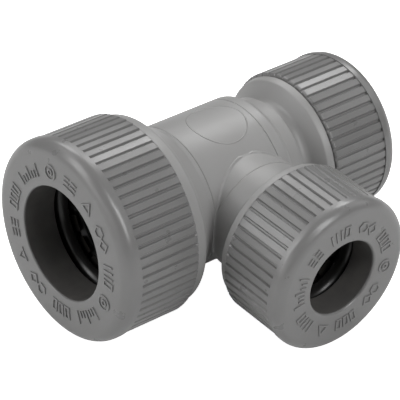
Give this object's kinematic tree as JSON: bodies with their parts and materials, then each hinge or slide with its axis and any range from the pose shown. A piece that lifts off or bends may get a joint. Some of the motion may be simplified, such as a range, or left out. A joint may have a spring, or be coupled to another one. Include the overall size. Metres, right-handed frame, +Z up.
{
  "type": "push fit coupling",
  "caption": "Push-fit reducing tee: three ribbed screw caps on a pale moulded body, joining a larger plastic water pipe to two smaller ones by pushing them in.",
  "frame": {"origin": "centre of the bounding box; the three port axes lie in the plane z = 0 and cross at x = 0.00095, y = 0.008875 m", "axes": "+X along the run, from the 22 mm port to the 15 mm port; the 15 mm branch points along -Y; +Z is up, square to all three ports"},
  "size_m": [0.0698, 0.0572, 0.0396],
  "materials": {
    "body_plastic": "pale grey moulded plastic, fine satin texture",
    "cap_plastic": "mid grey moulded plastic, satin, soft highlights",
    "black_acetal": "black, smooth, glossy",
    "seal_rubber": "black, lightly lubricated",
    "stainless_steel": "bright spring steel"
  },
  "bodies": {
    "tee": {"tee_body": "body_plastic", "spacer_washer_22": "black_acetal", "o_ring_22": "seal_rubber", "spacer_washer_run_15": "black_acetal", "o_ring_run_15": "seal_rubber", "spacer_washer_branch_15": "black_acetal", "o_ring_branch_15": "seal_rubber"},
    "rings_22": {"guide_sleeve_22": "black_acetal", "ring_carrier_22": "black_acetal", "grab_ring_22": "stainless_steel"},
    "cap_22": {"screw_cap_22": "cap_plastic"},
    "rings_run_15": {"guide_sleeve_run_15": "black_acetal", "ring_carrier_run_15": "black_acetal", "grab_ring_run_15": "stainless_steel"},
    "cap_run_15": {"screw_cap_run_15": "cap_plastic"},
    "rings_branch_15": {"guide_sleeve_branch_15": "black_acetal", "ring_carrier_branch_15": "black_acetal", "grab_ring_branch_15": "stainless_steel"},
    "cap_branch_15": {"screw_cap_branch_15": "cap_plastic"}
  },
  "joints": [
    {"name": "ring_travel_22", "type": "slide", "parent": "tee", "child": "rings_22", "axis": [-1, 0, 0], "range_m": [0, 0.00317]},
    {"name": "cap_turn_22", "type": "hinge", "parent": "rings_22", "child": "cap_22", "pos_m": [-0.0265, 0.00887, 0], "axis": [-1, 0, 0], "range_deg": [0, 570]},
    {"name": "ring_travel_run_15", "type": "slide", "parent": "tee", "child": "rings_run_15", "axis": [1, 0, 0], "range_m": [0, 0.00306]},
    {"name": "cap_turn_run_15", "type": "hinge", "parent": "rings_run_15", "child": "cap_run_15", "pos_m": [0.0272, 0.00887, 0], "axis": [1, 0, 0], "range_deg": [0, 550]},
    {"name": "ring_travel_branch_15", "type": "slide", "parent": "tee", "child": "rings_branch_15", "axis": [0, -1, 0], "range_m": [0, 0.00306]},
    {"name": "cap_turn_branch_15", "type": "hinge", "parent": "rings_branch_15", "child": "cap_branch_15", "pos_m": [0.00095, -0.0209, 0], "axis": [0, -1, 0], "range_deg": [0, 550]}
  ],
  "couplings": [
    {"joint": "ring_travel_22", "follows": "cap_turn_22", "m_per_rad": 0.00031831},
    {"joint": "ring_travel_run_15", "follows": "cap_turn_run_15", "m_per_rad": 0.00031831},
    {"joint": "ring_travel_branch_15", "follows": "cap_turn_branch_15", "m_per_rad": 0.00031831}
  ]
}
